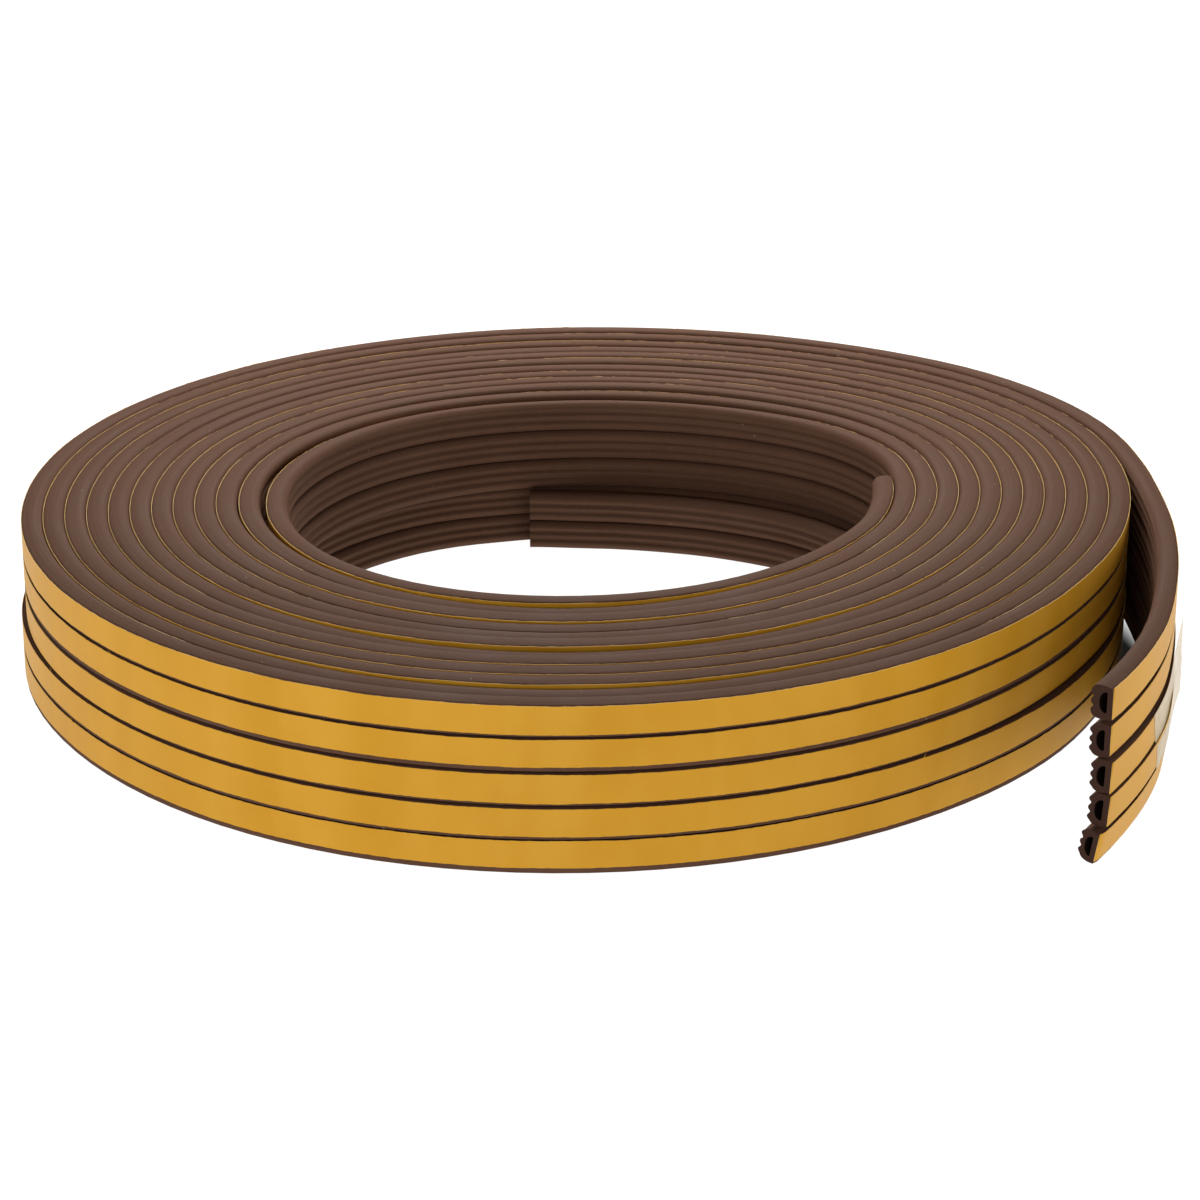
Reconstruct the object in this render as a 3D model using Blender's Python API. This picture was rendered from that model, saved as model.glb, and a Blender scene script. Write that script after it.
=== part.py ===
"""A roll of self-adhesive window seal, lying flat.

Five hollow D-section rubber strips are wound side by side as one coil, flat
back outwards and bulb towards the bore. Each back carries its own release
liner. The outer end of the coil springs away as a loose tail with a piece of
clear tape on it. The two lower strips run further round inside the bore than
the three upper ones.

Units are metres, +Z is up, and angles are degrees anticlockwise from +X about
the coil's axis. The strip runs clockwise from the inside of the bore to the
end of the tail. The origin is the centre of the underside of the whole roll's
bounding box.
"""

import math

import bpy
from mathutils import Vector

MM = 0.001

# The D-section strip; its height is measured when it lies free
STRIP_COUNT = 5
STRIP_WIDTH = 9.0 * MM
STRIP_HEIGHT = 6.0 * MM
STRIP_GAP = 0.3 * MM
EDGE_ROUND = 0.8 * MM
FLANK_DEPTH = 2.4 * MM
RIDGE_HEIGHT = 0.35 * MM
BASE_WALL = 1.8 * MM
SIDE_WALL = 1.7 * MM
CROWN_WALL = 1.4 * MM
DOME_FULLNESS = 2.5
BULB_STEPS = 6
BORE_STEPS = 3

# The release liner on each back
LINER_WIDTH = 7.5 * MM
LINER_THICKNESS = 0.15 * MM
LINER_CLEARANCE = 0.3 * MM
LINER_END_ANGLE = 387.0

# The wound coil
TURNS = 12
WOUND_SQUEEZE = 0.4 * MM
TURN_SLACK = 0.17 * MM
TURN_PITCH = STRIP_HEIGHT - WOUND_SQUEEZE + LINER_THICKNESS + TURN_SLACK
BORE_RADIUS = 82.9 * MM
GROOVE_DEPTH = 1.6 * MM
GROOVE_WIDTH = 0.35 * MM
COIL_SEGMENTS = 40
UPPER_STRIPS = 3
UPPER_END_ANGLE = 9.0
LOWER_END_ANGLE = 99.0

# The loose tail: how far its root is sunk in the coil, and the air under it from root to cut end
ROOT_SINK = 0.6 * MM
RISE_AIR = 0.2 * MM
HUMP_AIR = 3.6 * MM
WAIST_AIR = 1.3 * MM
SPRING_AIR = 8.7 * MM
SPREAD_AIR = 21.0 * MM
END_AIR = 34.8 * MM
ROOT_ANGLE = 72.0
CUT_ANGLE = -49.3
TAIL_STATIONS = (
    (ROOT_ANGLE, 0.0, -ROOT_SINK),
    (54.0, 0.4, RISE_AIR),
    (27.0, 1.0, HUMP_AIR),
    (0.0, 1.0, WAIST_AIR),
    (-22.0, 1.0, SPRING_AIR),
    (-36.0, 1.0, SPREAD_AIR),
    (CUT_ANGLE, 1.0, END_AIR),
)
TAIL_TRIM = 0.03 * MM
TAIL_BORE_ANGLE = 18.0
CUTTER_OVERRUN = 5.0 * MM

# The clear tape on the tail
TAPE_WIDTH = 18.6 * MM
TAPE_THICKNESS = 0.12 * MM
TAPE_CLEARANCE = 0.3 * MM
TAPE_START_ANGLE = -38.5
TAPE_END_ANGLE = -19.0
TAPE_LIFT = 1.5 * MM
TAPE_CENTRE_STRIPS = (3, 4)

STRIP_PITCH = STRIP_WIDTH + STRIP_GAP
OUTER_RADIUS = BORE_RADIUS + TURNS * TURN_PITCH
SEGMENT_ANGLE = 360.0 / COIL_SEGMENTS

RUBBER = ("rubber_brown", (0.085, 0.058, 0.046), 0.55)
LINER = ("liner_amber", (0.61, 0.32, 0.05), 0.35)
FILM = ("film_clear", (0.82, 0.80, 0.72), 0.2)


def clear_scene():
    """Remove whatever the scene holds."""
    for item in list(bpy.data.objects):
        bpy.data.objects.remove(item, do_unlink=True)


def make_material(name, colour, roughness):
    """Return a plain material with the given colour and roughness."""
    material = bpy.data.materials.new(name)
    material.use_nodes = True
    shader = material.node_tree.nodes["Principled BSDF"]
    shader.inputs["Base Color"].default_value = (*colour, 1.0)
    shader.inputs["Roughness"].default_value = roughness
    return material


def make_object(name, points, faces, material=None):
    """Return a smooth-shaded mesh object made from points and faces."""
    mesh = bpy.data.meshes.new(name)
    mesh.from_pydata(points, [], faces)
    mesh.validate()
    mesh.shade_smooth()
    mesh.set_sharp_from_angle(angle=math.radians(30.0))
    item = bpy.data.objects.new(name, mesh)
    bpy.context.scene.collection.objects.link(item)
    if material:
        mesh.materials.append(material)
    return item


def strip_middle(number):
    """Return the height of a strip's mid-plane; strip 1 is the top one."""
    return STRIP_WIDTH / 2 + (STRIP_COUNT - number) * STRIP_PITCH


def dome(span, half_width, turn):
    """Return the (height, rise) of a full-shouldered dome at an angle.

    It is a superellipse: 0 degrees is its foot on the flank, 90 its crest.
    """
    power = 2.0 / DOME_FULLNESS
    height = span * math.sin(math.radians(turn)) ** power
    rise = half_width * max(math.cos(math.radians(turn)), 0.0) ** power
    return height, rise


def bulb_half(height, half_width):
    """Return the upper half of the bulb as (depth, rise), flank to crest.

    It is half a dome with three low ridges about its crest: one on the
    middle line and one part way down each side.
    """
    span = height - RIDGE_HEIGHT - FLANK_DEPTH
    points = []
    for step in range(BULB_STEPS + 1):
        turn = 90.0 * step / BULB_STEPS
        on_ridge = step >= BULB_STEPS - 2 and step % 2 == BULB_STEPS % 2
        reach, rise = dome(span, half_width, turn)
        if on_ridge:
            reach += RIDGE_HEIGHT
        points.append((FLANK_DEPTH + reach, rise))
    return points


def mirror_half(half):
    """Return a half outline and its mirror image, sharing the crest point."""
    return half + [(depth, -rise) for depth, rise in reversed(half[:-1])]


def tail_section():
    """Return the loose strip's outline as (depth, rise), clockwise."""
    half_width = STRIP_WIDTH / 2 - TAIL_TRIM
    half = [(0.0, half_width - EDGE_ROUND), (EDGE_ROUND, half_width)]
    return mirror_half(half + bulb_half(STRIP_HEIGHT, half_width))


def bore_section():
    """Return the strip's hollow as (depth, rise): a D inside the walls."""
    half_width = STRIP_WIDTH / 2 - SIDE_WALL
    span = STRIP_HEIGHT - RIDGE_HEIGHT - CROWN_WALL - FLANK_DEPTH
    half = [(BASE_WALL, half_width - EDGE_ROUND / 2)]
    for step in range(BORE_STEPS + 1):
        reach, rise = dome(span, half_width, 90.0 * step / BORE_STEPS)
        half.append((FLANK_DEPTH + reach, rise))
    return mirror_half(half)


def end_grooves():
    """Return the turns on the coil's end as (radius, drop), outside inwards.

    Each turn is a flat land, a fall down its bulb, and a step up to the back
    of the next turn.
    """
    points = [(OUTER_RADIUS, EDGE_ROUND), (OUTER_RADIUS - EDGE_ROUND, 0.0)]
    for turn in range(1, TURNS):
        back = OUTER_RADIUS - turn * TURN_PITCH
        points.append((back + TURN_PITCH - FLANK_DEPTH, 0.0))
        points.append((back + GROOVE_WIDTH, GROOVE_DEPTH))
        points.append((back, 0.0))
    return points


def plain_end():
    """Return a coil end that lies against the next strip, as (radius, drop)."""
    innermost_back = OUTER_RADIUS - (TURNS - 1) * TURN_PITCH
    return [
        (OUTER_RADIUS, EDGE_ROUND),
        (OUTER_RADIUS - EDGE_ROUND, 0.0),
        (innermost_back, 0.0),
    ]


def bore_radius_at(angle):
    """Return the coil's inner radius; it shrinks by one layer in a turn."""
    return BORE_RADIUS + TURN_PITCH * (180.0 - angle) / 360.0


def polar(radius, angle, height):
    """Return the point at a radius, angle and height about the coil's axis."""
    turn = math.radians(angle)
    return (radius * math.cos(turn), radius * math.sin(turn), height)


def make_coil(name, number, material):
    """Return one strip's wound coil with its bore and its inner end.

    The section turns once about the axis. Its bulb side follows the last
    turn inwards and ends in a step, the strip's inner end.
    """
    middle = strip_middle(number)
    half_width = STRIP_WIDTH / 2
    end_angle = UPPER_END_ANGLE if number <= UPPER_STRIPS else LOWER_END_ANGLE
    top = end_grooves() if number == 1 else plain_end()
    bottom = end_grooves() if number == STRIP_COUNT else plain_end()
    above = [(radius, middle + half_width - drop) for radius, drop in top]
    below = [(radius, middle - half_width + drop) for radius, drop in reversed(bottom)]
    fixed = below + above
    wound_height = STRIP_HEIGHT - WOUND_SQUEEZE
    bulb = mirror_half(bulb_half(wound_height, half_width))
    points = []
    for segment in range(COIL_SEGMENTS):
        angle = end_angle + segment * SEGMENT_ANGLE
        points += [polar(radius, angle, height) for radius, height in fixed]
    bulb_start = len(points)
    for segment in range(COIL_SEGMENTS + 1):
        angle = end_angle + segment * SEGMENT_ANGLE
        inner = bore_radius_at(angle)
        for depth, rise in bulb:
            points.append(polar(inner + wound_height - depth, angle, middle + rise))

    def fixed_at(segment, place):
        return (segment % COIL_SEGMENTS) * len(fixed) + place

    def bulb_at(segment, place):
        return bulb_start + segment * len(bulb) + place

    faces = []
    last_fixed = len(fixed) - 1
    last_bulb = len(bulb) - 1
    for segment in range(COIL_SEGMENTS):
        after = segment + 1
        for place in range(last_fixed):
            faces.append((fixed_at(segment, place), fixed_at(after, place),
                          fixed_at(after, place + 1), fixed_at(segment, place + 1)))
        for place in range(last_bulb):
            faces.append((bulb_at(segment, place), bulb_at(after, place),
                          bulb_at(after, place + 1), bulb_at(segment, place + 1)))
        closing = after == COIL_SEGMENTS
        upper = [fixed_at(segment, last_fixed), fixed_at(after, last_fixed)]
        lower = [bulb_at(segment, last_bulb), bulb_at(after, last_bulb)]
        if closing:
            upper.append(bulb_at(0, 0))
            lower.append(bulb_at(0, last_bulb))
        upper += [bulb_at(after, 0), bulb_at(segment, 0)]
        lower += [fixed_at(after, 0), fixed_at(segment, 0)]
        faces.append(tuple(upper))
        faces.append(tuple(lower))
    for place in range(last_bulb):
        faces.append((bulb_at(COIL_SEGMENTS, place), bulb_at(0, place),
                      bulb_at(0, place + 1), bulb_at(COIL_SEGMENTS, place + 1)))
    return make_object(name, points, faces, material)


def stand_off(angle):
    """Return how far the tail's back stands outside the coil.

    A cubic runs through the stations, its slope at each one that of the
    chord between its neighbours.
    """
    angles = [station[0] for station in TAIL_STATIONS]
    lifts = [share * TURN_PITCH + air for _, share, air in TAIL_STATIONS]
    last = len(angles) - 1
    slopes = []
    for place in range(last + 1):
        before = max(place - 1, 0)
        after = min(place + 1, last)
        slopes.append((lifts[after] - lifts[before]) / (angles[after] - angles[before]))
    place = 0
    while place < last - 1 and angle < angles[place + 1]:
        place += 1
    width = angles[place + 1] - angles[place]
    part = (angle - angles[place]) / width
    blend = part * part * (3.0 - 2.0 * part)
    start_pull = part * (1.0 - part) ** 2
    end_pull = part * part * (part - 1.0)
    return (lifts[place] * (1.0 - blend) + lifts[place + 1] * blend
            + width * (slopes[place] * start_pull + slopes[place + 1] * end_pull))


def plan_point(radius, angle):
    """Return a point of the plan at a radius and angle."""
    return Vector(polar(radius, angle, 0.0)[:2])


def tail_angles():
    """Return the tail's section angles, from its root to its cut end."""
    steps = int((ROOT_ANGLE - CUT_ANGLE) / SEGMENT_ANGLE)
    angles = [ROOT_ANGLE - step * SEGMENT_ANGLE for step in range(steps + 1)]
    return angles + [CUT_ANGLE]


def tail_route():
    """Return the plan of the tail's back, from its root to its cut end."""
    return [plan_point(OUTER_RADIUS + stand_off(angle), angle) for angle in tail_angles()]


def liner_route():
    """Return the plan of the back under one liner, from the tail's end round the coil."""
    route = []
    for angle in reversed(tail_angles()):
        route.append(plan_point(OUTER_RADIUS + max(stand_off(angle), 0.0), angle))
    angle = ROOT_ANGLE + SEGMENT_ANGLE
    while angle <= LINER_END_ANGLE:
        route.append(plan_point(OUTER_RADIUS, angle))
        angle += SEGMENT_ANGLE
    return route


def route_point(angle):
    """Return the tail's faceted back at an angle between two sections."""
    angles = tail_angles()
    place = 0
    while angle < angles[place + 1]:
        place += 1
    start = plan_point(OUTER_RADIUS + stand_off(angles[place]), angles[place])
    end = plan_point(OUTER_RADIUS + stand_off(angles[place + 1]), angles[place + 1])
    ray = plan_point(1.0, angle)
    chord = end - start
    share = (ray.x * start.y - ray.y * start.x) / (ray.y * chord.x - ray.x * chord.y)
    return start + chord * share


def outward(start, end):
    """Return the outward normal of a stretch of route that runs clockwise."""
    along = (end - start).normalized()
    return Vector((-along.y, along.x))


def offset_route(route, distance):
    """Return a clockwise route moved outwards, its corners mitred."""
    moved = []
    last = len(route) - 1
    for place, point in enumerate(route):
        before = outward(route[max(place - 1, 0)], route[max(place, 1)])
        after = outward(route[min(place, last - 1)], route[min(place + 1, last)])
        mean = (before + after).normalized()
        moved.append(point + mean * (distance / mean.dot(after)))
    return moved


def sweep(name, route, section, middle, material=None):
    """Return a solid swept along a clockwise route.

    Each point of the section is (depth, rise): depth inwards from the route
    and rise above the middle height.
    """
    count = len(section)
    rails = [offset_route(route, -depth) for depth, _ in section]
    points = []
    for place in range(len(route)):
        for rail, (_, rise) in zip(rails, section):
            points.append((rail[place].x, rail[place].y, middle + rise))
    faces = []
    for place in range(len(route) - 1):
        here = place * count
        there = here + count
        for corner in range(count):
            after = (corner + 1) % count
            faces.append((here + corner, here + after, there + after, there + corner))
    start_cap = tuple(reversed(range(count)))
    end_cap = tuple(range((len(route) - 1) * count, len(route) * count))
    return make_object(name, points, faces + [start_cap, end_cap], material)


def hide_helper(item):
    """Mark an object as a tool that shapes others."""
    item.hide_render = True
    item.display_type = "WIRE"


def add_boolean(item, operand, operation):
    """Join an operand to an object, or cut it out of it."""
    modifier = item.modifiers.new(operand.name, "BOOLEAN")
    modifier.operation = operation
    modifier.solver = "EXACT"
    modifier.object = operand
    hide_helper(operand)


def bore_route():
    """Return the plan of the hollow's cutter, which runs past the cut end."""
    angles = [angle for angle in tail_angles() if angle <= TAIL_BORE_ANGLE]
    route = [plan_point(OUTER_RADIUS + stand_off(angle), angle) for angle in angles]
    along = (route[-1] - route[-2]).normalized()
    return route[:-1] + [route[-1] + along * CUTTER_OVERRUN]


def make_strip(number, material):
    """Return one strip: its coil, its loose tail and the hollow in the tail."""
    middle = strip_middle(number)
    strip = make_coil(f"seal_strip_{number}", number, material)
    tail = sweep(f"tail_{number}", tail_route(), tail_section(), middle)
    hollow = sweep(f"tail_hollow_{number}", bore_route(), bore_section(), middle)
    add_boolean(strip, tail, "UNION")
    add_boolean(strip, hollow, "DIFFERENCE")
    return strip


def film_section(inner, thickness, width):
    """Return a thin strip's outline, its inner face standing off the route."""
    half = width / 2
    outer = -(inner + thickness)
    return [(outer, half), (-inner, half), (-inner, -half), (outer, -half)]


def make_liner(number, material):
    """Return one strip's release liner, clear of the back it covers."""
    route = list(reversed(liner_route()))
    section = film_section(LINER_CLEARANCE, LINER_THICKNESS, LINER_WIDTH)
    return sweep(f"release_liner_{number}", route, section, strip_middle(number), material)


def tape_route():
    """Return the plan of the tape, its far end lifted off the tail."""
    between = [angle for angle in tail_angles() if TAPE_START_ANGLE < angle < TAPE_END_ANGLE]
    angles = [TAPE_END_ANGLE] + between + [TAPE_START_ANGLE]
    route = [route_point(angle) for angle in angles]
    route[0] += outward(route[0], route[1]) * TAPE_LIFT
    return route


def make_tape(material):
    """Return the clear tape, outside the liners of the strips it covers."""
    inner = LINER_CLEARANCE + LINER_THICKNESS + TAPE_CLEARANCE
    section = film_section(inner, TAPE_THICKNESS, TAPE_WIDTH)
    upper, lower = TAPE_CENTRE_STRIPS
    middle = (strip_middle(upper) + strip_middle(lower)) / 2
    return sweep("closing_tape", tape_route(), section, middle, material)


def centre_on_origin(items):
    """Set the bounding box's bottom centre at the origin."""
    bpy.context.view_layer.update()
    graph = bpy.context.evaluated_depsgraph_get()
    corners = []
    for item in items:
        solid = item.evaluated_get(graph)
        corners += [solid.matrix_world @ vertex.co for vertex in solid.data.vertices]
    middle_x = (min(p.x for p in corners) + max(p.x for p in corners)) / 2
    middle_y = (min(p.y for p in corners) + max(p.y for p in corners)) / 2
    shift = Vector((-middle_x, -middle_y, 0.0))
    for item in bpy.data.objects:
        item.location += shift


def main():
    """Build the roll."""
    clear_scene()
    rubber = make_material(*RUBBER)
    liner = make_material(*LINER)
    film = make_material(*FILM)
    items = []
    for number in range(1, STRIP_COUNT + 1):
        items.append(make_strip(number, rubber))
        items.append(make_liner(number, liner))
    items.append(make_tape(film))
    centre_on_origin(items)


main()
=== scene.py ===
"""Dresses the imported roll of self-adhesive window seal and sets it in a plain studio.

Five D-section rubber strips run side by side through the whole roll, from the cut end of
the loose tail, round twelve turns, to their inner ends in the bore. Every strip is one
swept surface with its own bore, and its release liner is a second one on its back. Sizes in
the classes are millimetres and degrees; a mesh is turned into metres when it is made.
Angles run anticlockwise round the coil's axis and are unwrapped along the strip: the
outermost turn has its plain angle, and each turn further in adds 360 degrees.
"""

import logging
import math
from dataclasses import dataclass, field
from enum import Enum
from typing import Callable

import bpy
import numpy as np
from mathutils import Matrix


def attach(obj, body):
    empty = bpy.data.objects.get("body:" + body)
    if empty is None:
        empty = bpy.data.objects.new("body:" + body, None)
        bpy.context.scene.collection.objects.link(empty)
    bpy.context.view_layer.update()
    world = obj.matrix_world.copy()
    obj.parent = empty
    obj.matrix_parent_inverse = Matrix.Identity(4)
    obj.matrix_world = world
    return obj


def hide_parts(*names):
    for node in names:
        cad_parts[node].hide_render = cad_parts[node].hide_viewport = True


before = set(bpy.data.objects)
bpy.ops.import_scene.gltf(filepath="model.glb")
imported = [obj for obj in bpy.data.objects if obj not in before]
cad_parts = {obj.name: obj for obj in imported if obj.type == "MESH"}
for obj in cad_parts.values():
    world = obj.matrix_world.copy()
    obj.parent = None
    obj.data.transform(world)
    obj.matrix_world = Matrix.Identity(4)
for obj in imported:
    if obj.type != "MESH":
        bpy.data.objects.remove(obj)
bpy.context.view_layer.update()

MM = 0.001
LOG = logging.getLogger("window_seal")


class Place(Enum):
    """Which run of strips a strip belongs to: the two lower ones go further into the bore."""

    UPPER = "upper"
    LOWER = "lower"


class Slot(Enum):
    """The record's material slots."""

    RUBBER = "rubber_brown"
    PAPER = "liner_amber"
    FILM = "film_clear"


def smooth_through(x: np.ndarray, stations: tuple) -> np.ndarray:
    """Run a smooth curve through stations.

    Cubic Hermite pieces join the stations; the slope at each is the mean slope of its two
    neighbours, and outside the stations the end value holds.

    Args:
        x: where the curve is read.
        stations: pairs of (x, value), in rising order of x.

    Returns:
        The curve's values at x.
    """
    knots = np.array([s[0] for s in stations], float)
    values = np.array([s[1] for s in stations], float)
    slopes = np.gradient(values, knots)
    slopes[0] = 0.0 if len(knots) < 3 else slopes[0]
    inside = np.clip(x, knots[0], knots[-1])
    piece = np.clip(np.searchsorted(knots, inside, side="right") - 1, 0, len(knots) - 2)
    step = knots[piece + 1] - knots[piece]
    t = (inside - knots[piece]) / step
    start = values[piece] * (2 * t**3 - 3 * t**2 + 1) + slopes[piece] * step * (t**3 - 2 * t**2 + t)
    end = values[piece + 1] * (3 * t**2 - 2 * t**3) + slopes[piece + 1] * step * (t**3 - t**2)
    return start + end


def ease(x: np.ndarray, start: float, end: float) -> np.ndarray:
    """Rise from 0 at start to 1 at end as 3t squared less 2t cubed."""
    t = np.clip((x - start) / (end - start), 0.0, 1.0)
    return t * t * (3.0 - 2.0 * t)


def wander(x: np.ndarray, scale: float, seed: int) -> np.ndarray:
    """Give smooth noise between about -1 and 1 along x.

    Seeded random values stand one every scale from -100 on, joined by eased steps.

    Args:
        x: where the noise is read.
        scale: the distance between two random values.
        seed: the seed of the random values.

    Returns:
        The noise at x.
    """
    place = (x + 100.0) / scale
    values = np.random.default_rng(seed).uniform(-1.0, 1.0, int(np.max(place)) + 3)
    cell = place.astype(int)
    t = place - cell
    t = t * t * (3.0 - 2.0 * t)
    return values[cell] * (1.0 - t) + values[cell + 1] * t


@dataclass(frozen=True)
class Route:
    """A strip's back line with a frame at each of its points."""

    points: np.ndarray
    along: np.ndarray
    outward: np.ndarray
    up: np.ndarray
    run: np.ndarray

    def at(self, outward: np.ndarray, rise: np.ndarray) -> np.ndarray:
        """Give points (n, k, 3) that stand k ways outwards and k rises off each point of the line."""
        level = self.points[:, None] + outward[..., None] * self.outward[:, None]
        return level + rise[..., None] * self.up[:, None]


@dataclass(frozen=True)
class Winding:
    """The plan and the heights of the roll, in millimetres and degrees."""

    axis_x: float = -3.61
    turn_pitch: float = 5.92
    turn_count: int = 12
    # The spiral has its wound radius at the level angle
    wound_radius: float = 153.87
    level_angle: float = 180.0
    # Radii of the coil's middle and of its outermost turn, for the spacing of sections
    mean_radius: float = 118.0
    outer_radius: float = 155.0
    cut_angle: float = -49.0
    upper_end: float = 4328.6
    lower_end: float = 4421.5
    strip_pitch: float = 9.05
    strip_count: int = 5
    upper_count: int = 3
    # The back's distance from the axis along the loose tail
    tail: tuple = (
        (-49.3, 194.7), (-45.0, 190.1), (-36.0, 180.9), (-27.0, 172.4), (-18.0, 166.6),
        (-9.0, 163.1), (0.0, 161.4), (8.8, 161.9), (18.0, 163.5), (28.0, 164.3),
    )
    tail_leaves: tuple = (8.0, 24.0)
    # Waves round the coil: how many a turn, cosine part and sine part
    waves: tuple = ((2, 1.356, 1.936), (3, 0.207, 1.072))
    # Bells where turns stand off: way outwards, middle and width, of all strips and of the lower ones
    bells: tuple = ((0.55, 20.0, 13.0), (-0.4, 3780.0, 38.0))
    lower_bells: tuple = ((1.3, 188.0, 17.0), (0.5, -31.0, 10.0), (1.5, 330.0, 18.0))
    # How far the hand-wound turns leave the even spiral: at the outermost, at the innermost
    hand: tuple = (
        (-60.0, -0.3, -0.2), (-48.0, -0.9, -0.5), (-35.0, -1.7, -0.9), (-26.0, -2.0, -0.9),
        (-15.0, -1.1, -0.4), (-5.0, 0.0, -0.2), (2.0, 1.2, 0.3), (10.0, 2.6, 1.0),
        (17.0, 3.8, 2.0), (25.0, 4.5, 2.6), (33.0, 4.6, 2.5), (41.0, 4.0, 1.9),
        (52.0, 1.7, 0.4), (60.0, 0.2, -0.3), (72.0, -1.1, -0.8), (85.0, -1.7, -0.9),
        (100.0, -1.3, -0.8), (115.0, -1.0, -0.6), (130.0, -0.5, -0.3), (150.0, -0.2, -0.1),
        (180.0, -0.3, -0.2), (200.0, 0.0, 0.0), (240.0, 0.0, 0.0), (285.0, -0.1, 0.0),
        (300.0, -0.3, -0.2),
    )
    # Height of the top strip above its plain height: each turn at the back and in front
    back_lifts: tuple = (
        1.35, 1.1, 0.55, 0.3, 0.45, 0.35, 0.0, -0.12, -0.17, -0.1, -0.95, -2.1, -1.2,
    )
    front_lifts: tuple = (
        0.0, -0.66, 0.55, 0.75, 0.92, -0.62, 0.75, -0.12, -0.25, 0.36, -0.62, 0.75, 0.7,
    )
    back_angle: float = 80.0
    back_width: float = 62.0
    front_angle: float = 270.0
    front_width: float = 42.0
    # How uneven the heights are along the strip
    uneven: float = 0.05
    uneven_scale: float = 37.0
    uneven_seed: int = 11
    # The innermost whole turn of strips 1 to 5: two ways inwards and the lean of the foot
    inner_slack: tuple = (2.9, 2.9, 2.9, 0.3, 1.5)
    inner_foot: tuple = (0.69, 2.1, 3.5, 0.0, 0.0)
    inner_lean: tuple = (9.0, 9.0, 9.0, 7.0, 7.0)
    # Middle and width of the bells of these three
    slack_at: tuple = (4120.0, 45.0)
    foot_at: tuple = (4058.0, 75.0)
    lean_at: tuple = (4068.0, 75.0)
    # How far the innermost turn sinks inwards towards its end, and from where to where
    end_sinks: float = 0.35
    end_sinks_along: tuple = (4296.0, 4316.0)
    # At the cut: way outwards, rise and inward lean of the foot of strips 1 to 5
    cut_out: tuple = (0.25, 0.2, 1.0, 0.9, -0.45)
    cut_rise: tuple = (1.95, 1.05, 0.81, 0.7, 0.0)
    cut_lean: tuple = (0.0, 0.0, 2.0, 4.0, 11.0)
    cut_fades: float = -3.0
    # How much further strips 1 to 5 reach at the cut
    cut_reach: tuple = (0.0, 0.0, 0.0, 0.0, 0.75)
    # How far the inner run of the two lower strips bows into the bore
    lower_bow: tuple = (
        (3990.0, 0.0), (4030.0, -0.7), (4052.0, -1.75), (4061.0, -2.0), (4068.0, -2.0),
        (4077.0, -1.0), (4086.0, -0.35), (4096.0, 0.0), (4322.0, 0.0), (4336.0, -1.4),
        (4352.0, -3.9), (4371.0, -5.9), (4381.0, -6.2), (4391.0, -6.35), (4401.0, -5.7),
        (4410.0, -4.85), (4421.5, -1.85),
    )

    def place(self, number: int) -> Place:
        """Tell which run a strip belongs to; strip 1 is the top one."""
        return Place.UPPER if number <= self.upper_count else Place.LOWER

    def end_angle(self, number: int) -> float:
        """Give the angle of a strip's inner end."""
        return self.upper_end if self.place(number) is Place.UPPER else self.lower_end

    def start_angle(self, number: int) -> float:
        """Give the angle of a strip's cut end."""
        return self.cut_angle - self.cut_reach[number - 1]

    def hand_wound(self, angle: np.ndarray) -> np.ndarray:
        """Give how far a turn leaves the even spiral; inner turns go from one shape to the other."""
        first = self.hand[0][0]
        plain = np.mod(angle - first, 360.0) + first
        outermost = smooth_through(plain, tuple((a, far) for a, far, _ in self.hand))
        innermost = smooth_through(plain, tuple((a, near) for a, _, near in self.hand))
        share = np.clip(angle / 360.0 / (self.turn_count - 1), 0.0, 1.0)
        return outermost * (1.0 - share) + innermost * share

    def back_radius(self, angle: np.ndarray, number: int) -> np.ndarray:
        """Give the distance of a strip's back from the coil's axis.

        A spiral that loses one turn pitch a turn, flattened by two waves a turn and three
        waves a turn and by the shape that hands gave it. The tail leaves it along its own
        stations, the last turns hang a little slack on the left, and the lower strips bow
        into the bore near their inner ends.

        Args:
            angle: unwrapped angles.
            number: the strip's number.

        Returns:
            The radii.
        """
        a = np.radians(angle)
        spiral = self.wound_radius - self.turn_pitch * (angle - self.level_angle) / 360.0
        for count, cosine, sine in self.waves:
            spiral += cosine * np.cos(count * a) + sine * np.sin(count * a)
        spiral += self.hand_wound(angle)
        loose = smooth_through(angle, self.tail)
        share = ease(angle, *self.tail_leaves)
        radius = loose * (1.0 - share) + spiral * share
        lower = self.place(number) is Place.LOWER
        for way, middle, width in self.bells + (self.lower_bells if lower else ()):
            radius += way * self.slack(angle, middle, width)
        radius -= self.inner_slack[number - 1] * self.slack(angle, *self.slack_at)
        radius -= self.inner_foot[number - 1] * self.slack(angle, *self.foot_at)
        radius -= self.end_sinks * ease(angle, *self.end_sinks_along)
        radius += self.cut_out[number - 1] * self.near_cut(angle)
        if lower:
            radius += smooth_through(angle, self.lower_bow)
        return radius

    def slack(self, angle: np.ndarray, middle: float, width: float) -> np.ndarray:
        """Give a bell of height 1 round an angle: where a turn hangs loose."""
        return np.exp(-(((angle - middle) / width) ** 2))

    def near_cut(self, angle: np.ndarray) -> np.ndarray:
        """Give 1 at the cut end of the tail, fading to 0 along it."""
        return 1.0 - ease(angle, self.cut_angle, self.cut_fades)

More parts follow.
